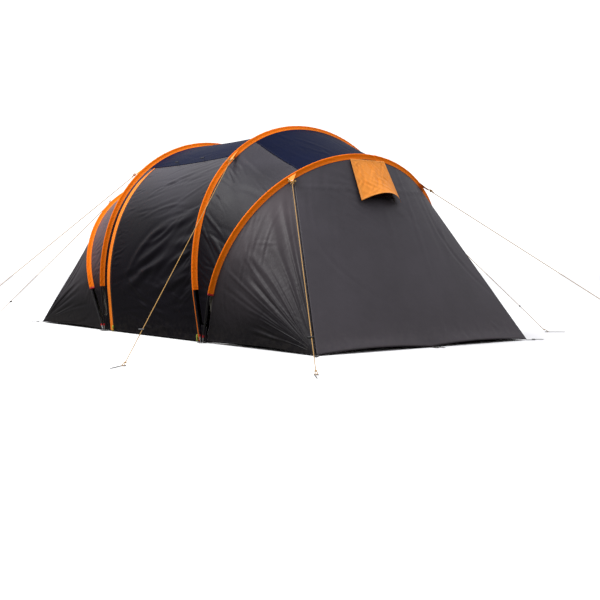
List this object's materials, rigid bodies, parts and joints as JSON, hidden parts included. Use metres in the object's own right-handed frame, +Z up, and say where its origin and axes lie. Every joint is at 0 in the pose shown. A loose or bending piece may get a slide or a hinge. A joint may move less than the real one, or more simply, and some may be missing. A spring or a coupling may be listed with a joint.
{
  "type": "tunnel tent",
  "caption": "Tunnel tent with sleeved hoop poles, sloping end walls, a zipped side door, propped vent hoods, inner cabins and pegged guy lines.",
  "frame": {"origin": "on the ground, under the middle of the tent without its guy lines", "axes": "+X toward the front wall along the tent, +Z up, the side door on -Y"},
  "size_m": [6.0975, 4.8578, 1.8956],
  "materials": {
    "pole": "satin black glass fibre",
    "metal": "satin",
    "cap": "gloss",
    "sleeve_cloth": "coated polyester, light sheen",
    "hem_cloth": "webbing tape",
    "roof_cloth": "coated polyester, soft sheen",
    "side_cloth": "coated polyester, soft sheen",
    "wall_cloth": "coated polyester, soft sheen",
    "hood_cloth": "coated polyester, light sheen",
    "webbing": "woven webbing",
    "zip": "nylon coil",
    "slider": "gloss",
    "trim": "matt",
    "mesh": "fine mesh",
    "floor_cloth": "woven polythene",
    "cabin_cloth": "thin breathable polyester",
    "peg": "dark",
    "cord": "braided cord"
  },
  "bodies": {
    "tent": {"pole_rear_end": "pole", "pole_rear_mid": "pole", "pole_front_mid": "pole", "pole_front_end": "pole", "pole_tips": "metal", "pole_caps": "cap", "sleeve_rear_end": "sleeve_cloth", "sleeve_rear_mid": "sleeve_cloth", "sleeve_front_mid": "sleeve_cloth", "sleeve_front_end": "sleeve_cloth", "sleeve_hems": "hem_cloth", "mid_roof": "roof_cloth", "mid_side_right": "side_cloth", "door_strip_rear": "side_cloth", "door_strip_front": "side_cloth", "front_bay_roof": "roof_cloth", "front_bay_sides": "side_cloth", "rear_bay_roof": "roof_cloth", "rear_bay_sides": "side_cloth", "front_wall": "wall_cloth", "front_wings": "side_cloth", "rear_wall": "wall_cloth", "rear_wings": "side_cloth", "foot_gussets": "side_cloth", "foot_webbing": "webbing", "door_zips": "zip", "zip_flap_rear": "sleeve_cloth", "zip_piping_front": "sleeve_cloth", "door_toggles": "trim", "vent_meshes": "mesh", "groundsheets": "floor_cloth", "front_cabin": "cabin_cloth", "rear_cabin": "cabin_cloth", "cabin_curtains": "cabin_cloth", "cabin_door_rolls": "cabin_cloth", "hem_loops": "webbing", "hem_pegs": "peg", "guy_tabs": "sleeve_cloth", "guy_pegs": "metal", "guyline_front_mid_left": "cord", "guyline_front_end_left": "cord", "guyline_front_end_right": "cord", "guyline_front_mid_right": "cord", "guyline_rear_mid_left": "cord", "guyline_rear_end_left": "cord"},
    "side_door": {"side_door": "side_cloth"},
    "zip_slider_rear": {"zip_slider_rear": "slider"},
    "zip_slider_front": {"zip_slider_front": "slider"},
    "front_vent_hood": {"front_vent_hood": "hood_cloth"},
    "rear_vent_hood": {"rear_vent_hood": "hood_cloth"},
    "front_vent_prop": {"front_vent_prop": "trim"},
    "rear_vent_prop": {"rear_vent_prop": "trim"},
    "runner_front_mid_left": {"runner_front_mid_left": "trim"},
    "runner_front_end_left": {"runner_front_end_left": "trim"},
    "runner_front_end_right": {"runner_front_end_right": "trim"},
    "runner_front_mid_right": {"runner_front_mid_right": "trim"},
    "runner_rear_mid_left": {"runner_rear_mid_left": "trim"},
    "runner_rear_end_left": {"runner_rear_end_left": "trim"}
  },
  "joints": [
    {"name": "side_door_swing", "type": "hinge", "parent": "tent", "child": "side_door", "pos_m": [0, -0.76562, 1.58366], "axis": [-1, 0, 0], "range_deg": [0, 80]},
    {"name": "zip_slide_rear", "type": "slide", "parent": "tent", "child": "zip_slider_rear", "axis": [0.0607, -0.1132, 0.9917], "range_m": [0, 0.25]},
    {"name": "zip_slide_front", "type": "slide", "parent": "tent", "child": "zip_slider_front", "axis": [-0.0607, -0.1132, 0.9917], "range_m": [0, 0.25]},
    {"name": "front_hood_lift", "type": "hinge", "parent": "tent", "child": "front_vent_hood", "pos_m": [1.67116, 0, 1.5217], "axis": [0, -1, 0], "range_deg": [0, 60]},
    {"name": "rear_hood_lift", "type": "hinge", "parent": "tent", "child": "rear_vent_hood", "pos_m": [-1.52173, 0, 1.52253], "axis": [0, 1, 0], "range_deg": [0, 60]},
    {"name": "front_prop_fold", "type": "hinge", "parent": "tent", "child": "front_vent_prop", "pos_m": [1.81353, 0, 1.24407], "axis": [0, 1, 0], "range_deg": [0, 75]},
    {"name": "rear_prop_fold", "type": "hinge", "parent": "tent", "child": "rear_vent_prop", "pos_m": [-1.68458, 0, 1.2564], "axis": [0, -1, 0], "range_deg": [0, 75]},
    {"name": "runner_slide_front_mid_left", "type": "slide", "parent": "tent", "child": "runner_front_mid_left", "axis": [-0.486, 0.6442, 0.5907], "range_m": [-0.2, 0.6]},
    {"name": "runner_slide_front_end_left", "type": "slide", "parent": "tent", "child": "runner_front_end_left", "axis": [-0.7014, 0.4589, 0.5454], "range_m": [-0.2, 0.6]},
    {"name": "runner_slide_front_end_right", "type": "slide", "parent": "tent", "child": "runner_front_end_right", "axis": [-0.7014, -0.4589, 0.5454], "range_m": [-0.2, 0.6]},
    {"name": "runner_slide_front_mid_right", "type": "slide", "parent": "tent", "child": "runner_front_mid_right", "axis": [-0.4698, -0.543, 0.696], "range_m": [-0.2, 0.6]},
    {"name": "runner_slide_rear_mid_left", "type": "slide", "parent": "tent", "child": "runner_rear_mid_left", "axis": [0.4984, 0.5998, 0.6259], "range_m": [-0.2, 0.6]},
    {"name": "runner_slide_rear_end_left", "type": "slide", "parent": "tent", "child": "runner_rear_end_left", "axis": [0.527, 0.5074, 0.6818], "range_m": [-0.2, 0.6]}
  ]
}
